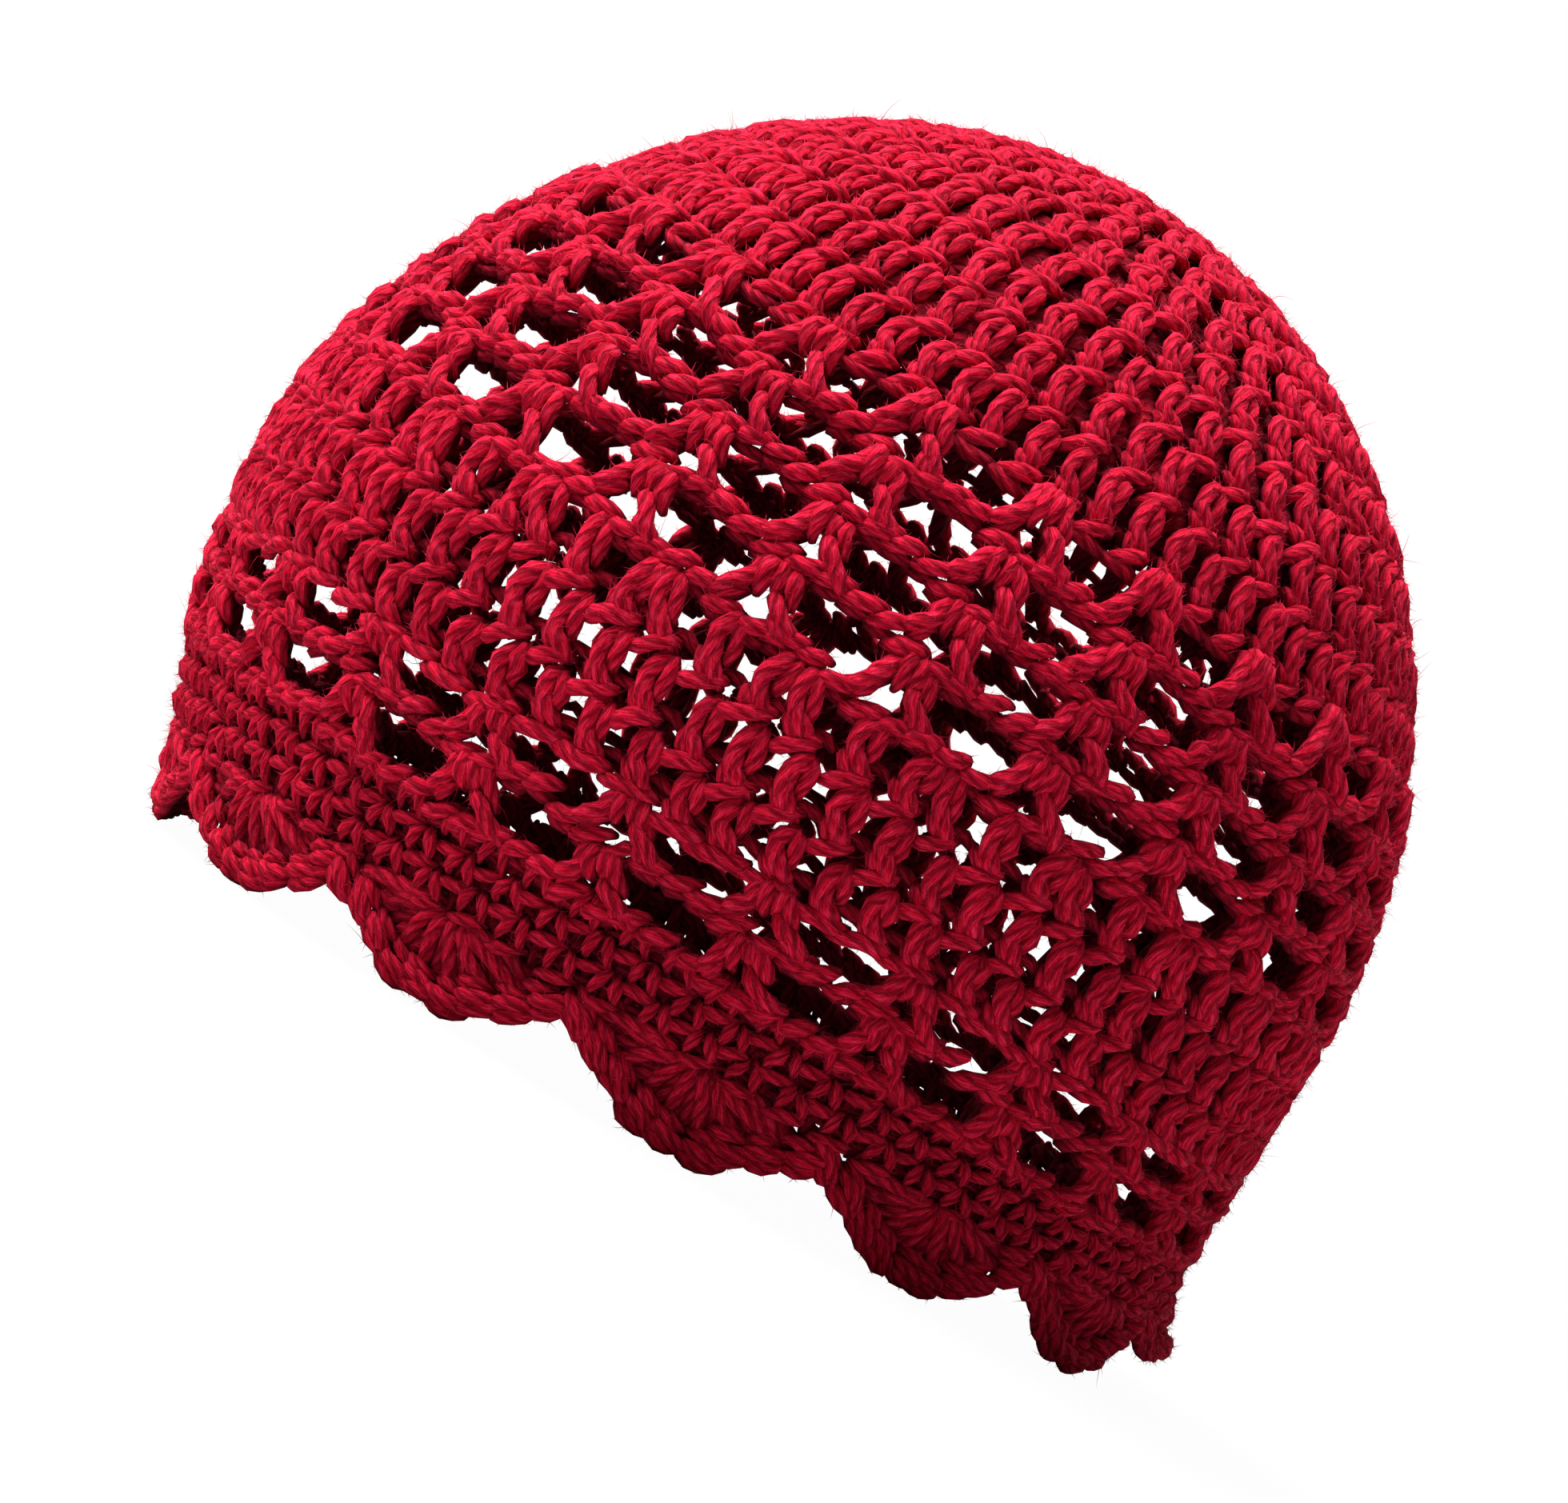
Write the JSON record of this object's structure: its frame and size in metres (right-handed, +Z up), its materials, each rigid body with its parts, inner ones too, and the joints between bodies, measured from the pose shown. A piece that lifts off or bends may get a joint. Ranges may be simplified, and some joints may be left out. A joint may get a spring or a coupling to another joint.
{
  "type": "crochet cloche hat",
  "caption": "Close-fitting crocheted hat with a dense domed crown, two bands of open lace, a firm brim band and a scalloped edge, open below for a head.",
  "frame": {"origin": "under the middle of the hat, on the surface that its scallops stand on", "axes": "+Z up through the crown, -Y the side that the camera sees, +X the side that the crown leans towards"},
  "size_m": [0.1837, 0.1806, 0.1556],
  "materials": {
    "red_yarn": "twisted four-ply wool-like yarn, matt with a soft halo of fibres"
  },
  "bodies": {
    "root": {"crown": "red_yarn", "upper_lace_band": "red_yarn", "middle_band": "red_yarn", "lower_lace_band": "red_yarn", "brim_band": "red_yarn", "scallop_edging": "red_yarn"}
  },
  "joints": []
}
